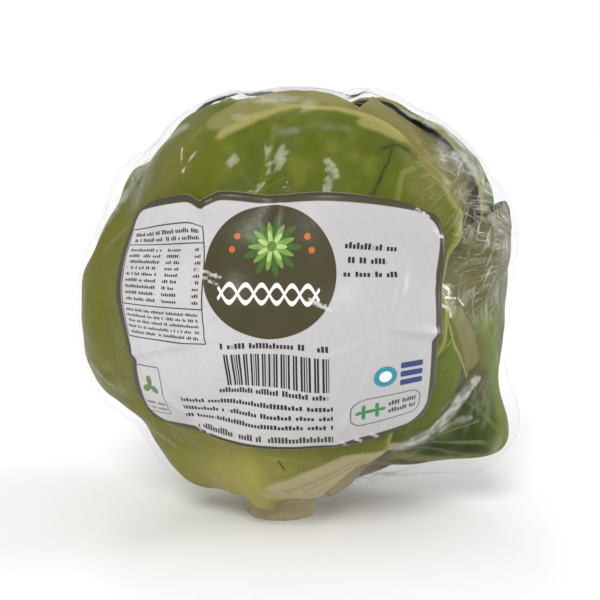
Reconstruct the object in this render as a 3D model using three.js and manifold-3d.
// A small head of green cabbage, standing on its cut stalk, wrapped in clear stretch film with a
// paper label on its front. Millimetres, +Z up. The origin is the middle of the stalk's cut face.
// The label looks along -Y, and +X is to the right of it.
//
// Every sheet here is a height above the head's middle, measured along a direction. A new sheet
// is draped over all that lies below it: the highest point near each direction is found, that
// field is smoothed, and the sheet starts a small gap above it. So no two pieces cross.
import * as THREE from "three";
import Module from "manifold-3d";
import { mergeVertices } from "three/addons/utils/BufferGeometryUtils.js";

const wasm = await Module();
wasm.setup();

// Driving dimensions
const MIDDLE = new THREE.Vector3(4, 0, 54.6); // middle of the head, above and right of the stalk
const HALF_DEPTH = 41.4; // of the heart, front to back
const GAP = 0.5; // clear space under each leaf, the film and the label
const STALK_FOOT = 8.8; // radius of the cut face
const STALK_NECK = 8.3;
const STALK_TIP = 5;
const STALK_TOP = 46; // how far the core reaches up into the head
const STALK_CLEAR = 0.4;
const STALK_SIDES = 28;
const BLADE = 0.9; // thickness of a leaf between its ribs
const BLADE_EDGE = 0.65;
const FILM = 0.6;
const FILM_MOUTH = 26; // degrees from the stalk at which the gathered film ends
const FILM_ROWS = 24;
const FILM_COLUMNS = 48;
const PLEATS = 12;
const PLEAT_HEIGHT = 0.45;
const PAPER = 0.5;
const LABEL_WIDTH = 87;
const LABEL_HEIGHT = 65;
const LABEL_CORNER = 9;
const LABEL_RADIUS = 52; // the head's radius under the label
const LABEL_AT = { azimuth: -8, elevation: 2 };
const LABEL_COLUMNS = 16;
const LABEL_ROWS = 12;

// Distance from MIDDLE to the head's outline seen from the front, every 30 degrees
// anticlockwise from the right, before the wrapper leaves go on
const OUTLINE = [43.8, 44.5, 45.8, 51.5, 44, 39.3, 46.3, 40.3, 44, 48.8, 33, 46.5];
const FOLD = { count: 5, height: 1.1, twist: 0.35 }; // the heart's own leaf edges, in a spiral

const DEGREE = Math.PI / 180;
const LEAF_HALF_COLUMNS = [0, 0.06, 0.14, 0.26, 0.4, 0.55, 0.7, 0.85, 1];
const VEIN_PAIRS = 8;
const VEIN_ROWS = 2 * VEIN_PAIRS; // rows follow the side veins: a crest, then a hollow
const LEAF_ALONG = [...Array.from({ length: VEIN_ROWS }, (_, i) => i / VEIN_ROWS), 0.975, 1];
const LEAF_ROWS = LEAF_ALONG.length - 1;
const LEAF_ROUND = 0.64; // lower makes a leaf's foot and tip rounder
const FINE = { rows: 40, columns: 24 }; // points of half a leaf at which it raises the heights
const SAMPLES = 5000; // directions at which heights are kept
const REACH = 8; // degrees over which a sheet bridges a step in what is below it
const FILM_REACH = 5.5;
const LABEL_REACH = 6;
const COVER_REACH = 2.4; // degrees round a point of a sheet that it covers

const stalkward = MIDDLE.clone().negate().normalize();

// Unit vector at an azimuth from the front towards the right and an elevation, in degrees
function direction(azimuth, elevation) {
  const a = azimuth * DEGREE;
  const e = elevation * DEGREE;
  return new THREE.Vector3(Math.sin(a) * Math.cos(e), -Math.cos(a) * Math.cos(e), Math.sin(e));
}

// A place on the head given by two angles, right and up, from a centre direction. Up leads
// straight away from another direction, which is the stalk's for a leaf.
function chart(centre, away = stalkward) {
  const up = away.clone().negate().addScaledVector(centre, away.dot(centre)).normalize();
  const right = up.clone().cross(centre);
  const toStalk = centre.angleTo(stalkward) / DEGREE;
  const at = (p, q) => {
    const angle = Math.hypot(p, q) * DEGREE;
    const size = angle > 1e-9 ? Math.sin(angle) / angle : 1;
    return centre
      .clone()
      .multiplyScalar(Math.cos(angle))
      .addScaledVector(right, size * p * DEGREE)
      .addScaledVector(up, size * q * DEGREE);
  };
  return { at, toStalk };
}

const smooth = (x) => {
  const t = Math.min(Math.max(x, 0), 1);
  return t * t * (3 - 2 * t);
};

// A rounded hill on the sphere of directions, 1 at its top
const hill = (d, top, width) => Math.exp(-((d.angleTo(top) / DEGREE / width) ** 2));

// Radius of the head's outline at an angle, by a smooth curve through OUTLINE
function outlineAt(angle) {
  const count = OUTLINE.length;
  const x = (((angle / (2 * Math.PI)) % 1) + 1) * count;
  const i = Math.floor(x);
  const t = x - i;
  const [a, b, c, e] = [-1, 0, 1, 2].map((k) => OUTLINE[(i + k + count) % count]);
  return b + 0.5 * t * (c - a + t * (2 * a - 5 * b + 4 * c - e + t * (3 * (b - c) + e - a)));
}

// Radius of the heart: the outline turned into a rounded body, with the edges of its own folded
// leaves running up it in a slow spiral
function heartRadius(d) {
  const across = Math.hypot(d.x, d.z);
  const wide = outlineAt(Math.atan2(d.z, d.x));
  const body = 1 / Math.hypot(across / wide, d.y / HALF_DEPTH);
  const turn = Math.atan2(d.y, d.x) / (2 * Math.PI) + FOLD.twist * d.z;
  const saw = (((turn * FOLD.count) % 1) + 1) % 1;
  const fold = FOLD.height * Math.hypot(d.x, d.y) * smooth(saw * 1.15) * smooth((1 - saw) * 6);
  return body + fold - FOLD.height;
}

// Directions spread evenly over the sphere, and those within REACH of each
const samples = Array.from({ length: SAMPLES }, (_, i) => {
  const z = 1 - (2 * i + 1) / SAMPLES;
  const turn = i * Math.PI * (3 - Math.sqrt(5));
  const side = Math.sqrt(1 - z * z);
  return new THREE.Vector3(side * Math.cos(turn), side * Math.sin(turn), z);
});

function nearby(d, reach) {
  const limit = Math.cos(reach * DEGREE);
  const found = [];
  for (let i = 0; i < SAMPLES; i++) {
    const c = d.dot(samples[i]);
    if (c > limit) found.push([i, ((c - limit) / (1 - limit)) ** 2]);
  }
  return found;
}

// The height that a sheet has to clear: the highest neighbour of each sample, then a weighted
// mean of those round the direction asked for
function drape(heights, reach) {
  const raised = samples.map((d) => Math.max(...nearby(d, reach).map(([i]) => heights[i])));
  return (d) => {
    let sum = 0;
    let weight = 0;
    for (const [i, w] of nearby(d, reach)) {
      sum += w * raised[i];
      weight += w;
    }
    return sum / weight;
  };
}

// Heights are raised to a sheet's outer face wherever the sheet lies
function cover(heights, points) {
  for (const { d, height } of points) {
    for (const [i] of nearby(d, COVER_REACH)) heights[i] = Math.max(heights[i], height);
  }
}

const place = (d, height) => MIDDLE.clone().addScaledVector(d, height);

function solid(points, triangles) {
  const geometry = new THREE.BufferGeometry();
  geometry.setAttribute(
    "position",
    new THREE.Float32BufferAttribute(
      points.flatMap((p) => p.toArray()),
      3,
    ),
  );
  geometry.setIndex(triangles);
  geometry.computeVertexNormals();
  return geometry;
}

// A sheet with two faces from a grid of [direction, inner height, outer height]. The index
// function numbers the grid's corners, so that two may share one place.
function sheet(corners, quads, rim) {
  const inner = corners.map(({ d, low }) => place(d, low));
  const outer = corners.map(({ d, high }) => place(d, high));
  const n = corners.length;
  const triangles = [];
  const face = (a, b, c) => {
    if (a !== b && b !== c && c !== a) triangles.push(a, b, c);
  };
  for (const [a, b, c, e] of quads) {
    face(n + a, n + b, n + c);
    face(n + a, n + c, n + e);
    face(a, c, b);
    face(a, e, c);
  }
  rim.forEach((a, k) => {
    const b = rim[(k + 1) % rim.length];
    face(a, b, n + b);
    face(a, n + b, n + a);
  });
  return solid([...inner, ...outer], triangles);
}

// Where a leaf begins, in degrees from the stalk's axis, how tall its midrib is there, and how
// wide the foot is on either side. An inner leaf grows from further up the core.
const OUTER = { foot: 18.5, footRib: 3, petioleLeft: 9, petioleRight: 9 };
const INNER = { foot: 30, footRib: 1.7, petioleLeft: 9, petioleRight: 9 };

// The wrapper leaves, innermost first. The widths are of the blade's two halves and tip is how
// far the blade reaches above its centre, in degrees. Each half of a blade is widest lower down
// where its full number is smaller. Each hill lifts the leaf off what is below it.
const LEAVES = [
  {
    name: "leaf_crown",
    ...INNER,
    azimuth: 172,
    elevation: 52,
    widthLeft: 62,
    widthRight: 62,
    tip: 66,
    fullLeft: 1.2,
    fullRight: 1.2,
    colour: 0x86893c,
    hills: [],
  },
  {
    name: "leaf_left",
    ...INNER,
    azimuth: -98,
    elevation: 6,
    widthLeft: 58,
    widthRight: 58,
    tip: 64,
    fullLeft: 1.2,
    fullRight: 1.2,
    colour: 0x6f7a33,
    hills: [],
  },
  {
    name: "leaf_back",
    ...INNER,
    azimuth: 176,
    elevation: 2,
    widthLeft: 60,
    widthRight: 60,
    tip: 66,
    fullLeft: 1.2,
    fullRight: 1.2,
    colour: 0x6c7a30,
    hills: [],
  },
  {
    name: "leaf_right",
    ...INNER,
    azimuth: 82,
    elevation: 12,
    widthLeft: 56,
    widthRight: 56,
    tip: 58,
    fullLeft: 1.2,
    fullRight: 1.2,
    colour: 0x6a6f30,
    hills: [{ azimuth: 84, elevation: 41, width: 15, height: 6.4 }],
  },
  {
    name: "leaf_back_left",
    ...OUTER,
    azimuth: -134,
    elevation: -14,
    widthLeft: 50,
    widthRight: 50,
    tip: 52,
    fullLeft: 1.3,
    fullRight: 1.1,
    colour: 0x55672a,
    hills: [{ azimuth: -92, elevation: -14, width: 16, height: 3 }],
  },
  {
    name: "leaf_back_right",
    ...OUTER,
    azimuth: 128,
    elevation: 4,
    widthLeft: 50,
    widthRight: 50,
    tip: 58,
    fullLeft: 1.2,
    fullRight: 1.3,
    colour: 0x56692c,
    hills: [{ azimuth: 92, elevation: 41, width: 15, height: 1 }],
  },
  {
    name: "leaf_low_right",
    ...OUTER,
    foot: 14,
    petioleLeft: 30,
    petioleRight: 10,
    azimuth: 80,
    elevation: -20,
    widthLeft: 42,
    widthRight: 42,
    tip: 46,
    fullLeft: 1,
    fullRight: 1.2,
    colour: 0x46592a,
    hills: [{ azimuth: 83, elevation: -34.5, width: 10, height: 11.2 }],
  },
  {
    name: "leaf_front",
    ...OUTER,
    foot: 15.5,
    petioleLeft: 20,
    petioleRight: 3,
    azimuth: -17,
    elevation: 11,
    widthLeft: 73,
    widthRight: 61,
    tip: 59,
    fullLeft: 1.1,
    fullRight: 1.5,
    colour: 0x6b772c,
    hills: [{ azimuth: -65, elevation: -60, width: 13, height: 3.6 }],
  },
];
const RIB = { blade: 1.5, end: 0.3, width: 5.5 }; // midrib heights on the blade, and degrees
const VEIN = 0.6; // height of the side veins
const RIB_REACH = 0.86; // share of the tip's height at which the midrib ends
const BOW = 5; // degrees by which the side veins bend towards the tip
const WAVE = { count: 4.5, height: 1, cut: 1.9 };

// Angles, rib height and edge share of the point s across and t along one half of a leaf. Rows
// run from the midrib out to the margin, as the side veins do.
function leafPoint(leaf, toStalk, side, s, t) {
  const low = leaf.foot - toStalk;
  const full = side < 0 ? leaf.fullLeft : leaf.fullRight;
  const width = side < 0 ? leaf.widthLeft : leaf.widthRight;
  const petiole = side < 0 ? leaf.petioleLeft : leaf.petioleRight;
  const wave = Math.sin(2 * Math.PI * (WAVE.count * t + 0.3 * leaf.order * side));
  const marginAlong = Math.pow(t, 0.85);
  const marginOut =
    petiole * (1 - marginAlong) +
    width * Math.pow(Math.sin(Math.PI * Math.pow(marginAlong, full)), LEAF_ROUND) +
    WAVE.cut * wave * Math.sin(Math.PI * marginAlong);
  const marginUp = low + (leaf.tip - low) * 0.5 * (1 - Math.cos(Math.PI * marginAlong));
  const ribUp = low + (RIB_REACH * leaf.tip - low) * t;
  const bow = BOW * Math.sin(Math.PI * t) * 4 * s * (1 - s);
  const ribTall = RIB.end + (RIB.blade - RIB.end) * (1 - t);
  const footTall = (leaf.footRib - RIB.blade) * (1 - smooth(t / 0.3));
  const p = s * marginOut;
  const ribWide = RIB.width * (1.15 - t);
  const rib = (ribTall + footTall) * Math.exp(-((p / ribWide) ** 2));
  const crest = 0.5 + 0.5 * Math.cos(2 * Math.PI * VEIN_PAIRS * t);
  const vein = VEIN * crest * (1 - 0.6 * s) * smooth(s * 6) * smooth(t * 6);
  return {
    p: side * p,
    q: (1 - s) * ribUp + s * marginUp + bow,
    thick: BLADE + (BLADE_EDGE - BLADE) * smooth((s - 0.6) / 0.4) + rib + vein,
    lift: WAVE.height * (0.5 + 0.5 * wave) * smooth((s - 0.55) / 0.45) * smooth(t * 4),
  };
}

function makeLeaf(leaf, heights) {
  const { at, toStalk } = chart(direction(leaf.azimuth, leaf.elevation));
  const under = drape(heights, REACH);
  const hills = leaf.hills.map((h) => ({ ...h, top: direction(h.azimuth, h.elevation) }));
  const corner = (side, s, t) => {
    const { p, q, thick, lift } = leafPoint(leaf, toStalk, side, s, t);
    const d = at(p, q);
    const raise = hills.reduce((sum, h) => sum + h.height * hill(d, h.top, h.width), 0);
    const low = under(d) + GAP + lift + raise;
    return { d, low, high: low + thick };
  };
  const half = LEAF_HALF_COLUMNS.length - 1;
  const corners = [];
  const numbers = new Map();
  for (let row = 0; row <= LEAF_ROWS; row++) {
    for (let column = -half; column <= half; column++) {
      const shared = row === LEAF_ROWS && column < 0;
      if (shared) continue;
      numbers.set(`${row},${column}`, corners.length);
      const s = LEAF_HALF_COLUMNS[Math.abs(column)];
      corners.push(corner(Math.sign(column) || 1, s, LEAF_ALONG[row]));
    }
  }
  const number = (row, column) =>
    numbers.get(`${row},${row === LEAF_ROWS ? Math.abs(column) : column}`);
  const quads = [];
  for (let row = 0; row < LEAF_ROWS; row++) {
    for (let column = -half; column < half; column++) {
      quads.push([
        number(row, column),
        number(row, column + 1),
        number(row + 1, column + 1),
        number(row + 1, column),
      ]);
    }
  }
  const rim = [];
  for (let column = -half; column <= half; column++) rim.push(number(0, column));
  for (let row = 1; row <= LEAF_ROWS; row++) rim.push(number(row, half));
  for (let row = LEAF_ROWS - 1; row > 0; row--) rim.push(number(row, -half));
  const fine = [];
  for (let i = 0; i <= FINE.rows; i++) {
    for (let j = -FINE.columns; j <= FINE.columns; j++) {
      const side = Math.sign(j) || 1;
      const { d, high } = corner(side, Math.abs(j) / FINE.columns, i / FINE.rows);
      fine.push({ d, height: high });
    }
  }
  cover(heights, fine);
  return sheet(corners, quads, rim);
}

// The stalk: a cut foot, and a core that tapers up into the heart
function stalkProfile(clear) {
  const profile = [
    [0, -clear],
    [STALK_FOOT + clear, -clear],
    [STALK_FOOT + clear, 3],
    [STALK_NECK + clear, 10],
    [STALK_NECK - 2 + clear, 26],
    [STALK_TIP + clear, STALK_TOP - 4],
    [0, STALK_TOP + clear],
  ];
  return profile.map(([x, y]) => new THREE.Vector2(x, y));
}

function makeStalk(clear = 0) {
  return new THREE.LatheGeometry(stalkProfile(clear), STALK_SIDES).rotateX(Math.PI / 2);
}

function asManifold(geometry) {
  const bare = new THREE.BufferGeometry();
  bare.setAttribute("position", geometry.getAttribute("position"));
  if (geometry.index) bare.setIndex(geometry.index);
  const merged = mergeVertices(bare, 1e-4);
  return new wasm.Manifold(
    new wasm.Mesh({
      numProp: 3,
      vertProperties: merged.getAttribute("position").array,
      triVerts: new Uint32Array(merged.index.array),
    }),
  );
}

function asGeometry(manifold) {
  const mesh = manifold.getMesh();
  const geometry = new THREE.BufferGeometry();
  geometry.setAttribute("position", new THREE.Float32BufferAttribute(mesh.vertProperties, 3));
  geometry.setIndex(Array.from(mesh.triVerts));
  geometry.computeVertexNormals();
  return geometry;
}

// The heart: the tight inner leaves as one body, with a socket for the core
function makeHeart() {
  const ball = new THREE.IcosahedronGeometry(1, 7);
  const position = ball.getAttribute("position");
  const d = new THREE.Vector3();
  for (let i = 0; i < position.count; i++) {
    d.fromBufferAttribute(position, i).normalize();
    position.setXYZ(i, ...place(d, heartRadius(d)).toArray());
  }
  return asGeometry(asManifold(ball).subtract(asManifold(makeStalk(STALK_CLEAR))));
}

// The film: taut over the high places, slack where the hills of FILM_SLACK stand, and gathered
// in pleats at a mouth round the stalk
const FILM_SLACK = [{ azimuth: -90, elevation: 34, width: 12, height: 2 }];

function makeFilm(heights) {
  const { at } = chart(stalkward.clone().negate(), direction(0, 0));
  const under = drape(heights, FILM_REACH);
  const slack = FILM_SLACK.map((h) => ({ ...h, top: direction(h.azimuth, h.elevation) }));
  const corners = [];
  const corner = (row, column) => {
    const down = ((180 - FILM_MOUTH) * row) / FILM_ROWS;
    const turn = (2 * Math.PI * column) / FILM_COLUMNS;
    const d = at(down * Math.cos(turn), down * Math.sin(turn));
    const raise = slack.reduce((sum, h) => sum + h.height * hill(d, h.top, h.width), 0);
    const nearMouth = smooth((row / FILM_ROWS - 0.72) / 0.28);
    const pleat = PLEAT_HEIGHT * nearMouth * (1 + Math.cos(PLEATS * turn));
    const low = under(d) + GAP + raise + pleat;
    return { d, low, high: low + FILM };
  };
  corners.push(corner(0, 0));
  for (let row = 1; row <= FILM_ROWS; row++) {
    for (let column = 0; column < FILM_COLUMNS; column++) corners.push(corner(row, column));
  }
  const number = (row, column) => (row ? 1 + (row - 1) * FILM_COLUMNS + (column % FILM_COLUMNS) : 0);
  const quads = [];
  const rim = [];
  for (let column = 0; column < FILM_COLUMNS; column++) {
    rim.push(number(FILM_ROWS, column));
    for (let row = 0; row < FILM_ROWS; row++) {
      quads.push([
        number(row, column),
        number(row + 1, column),
        number(row + 1, column + 1),
        number(row, column + 1),
      ]);
    }
  }
  cover(
    heights,
    corners.map(({ d, high }) => ({ d, height: high })),
  );
  return sheet(corners, quads, rim);
}

// The label: a rounded rectangle of paper that follows the film
function makeLabel(heights) {
  const { at } = chart(direction(LABEL_AT.azimuth, LABEL_AT.elevation), direction(0, -90));
  const under = drape(heights, LABEL_REACH);
  const flatWide = LABEL_WIDTH / 2 - LABEL_CORNER;
  const flatTall = LABEL_HEIGHT / 2 - LABEL_CORNER;
  const corners = [];
  for (let row = 0; row <= LABEL_ROWS; row++) {
    for (let column = 0; column <= LABEL_COLUMNS; column++) {
      const s = (2 * column) / LABEL_COLUMNS - 1;
      const t = (2 * row) / LABEL_ROWS - 1;
      const [a, b] = [s ** 5, t ** 5];
      const x = s * flatWide + LABEL_CORNER * a * Math.sqrt(1 - (b * b) / 2);
      const y = t * flatTall + LABEL_CORNER * b * Math.sqrt(1 - (a * a) / 2);
      const d = at(x / LABEL_RADIUS / DEGREE, y / LABEL_RADIUS / DEGREE);
      const low = under(d) + GAP;
      corners.push({ d, low, high: low + PAPER });
    }
  }
  const number = (row, column) => row * (LABEL_COLUMNS + 1) + column;
  const quads = [];
  for (let row = 0; row < LABEL_ROWS; row++) {
    for (let column = 0; column < LABEL_COLUMNS; column++) {
      quads.push([
        number(row, column),
        number(row, column + 1),
        number(row + 1, column + 1),
        number(row + 1, column),
      ]);
    }
  }
  const rim = [];
  for (let column = 0; column < LABEL_COLUMNS; column++) rim.push(number(0, column));
  for (let row = 0; row < LABEL_ROWS; row++) rim.push(number(row, LABEL_COLUMNS));
  for (let column = LABEL_COLUMNS; column > 0; column--) rim.push(number(LABEL_ROWS, column));
  for (let row = LABEL_ROWS; row > 0; row--) rim.push(number(row, 0));
  return sheet(corners, quads, rim);
}

const cabbage = new THREE.Group();

function add(name, geometry, look) {
  const mesh = new THREE.Mesh(geometry, new THREE.MeshStandardMaterial({ metalness: 0, ...look }));
  mesh.name = name;
  cabbage.add(mesh);
}

add("stalk", makeStalk(), { color: 0xb9a57c, roughness: 0.7 });
add("heart", makeHeart(), { color: 0x9aa25a, roughness: 0.5 });

const heights = samples.map(heartRadius);
LEAVES.forEach((leaf, order) => {
  const geometry = makeLeaf({ ...leaf, order }, heights);
  add(leaf.name, geometry, { color: leaf.colour, roughness: 0.45 });
});
add("film", makeFilm(heights), {
  color: 0xe8eaea,
  roughness: 0.1,
  transparent: true,
  opacity: 0.2,
});
add("label", makeLabel(heights), { color: 0xcfcdd2, roughness: 0.4 });

export default cabbage;
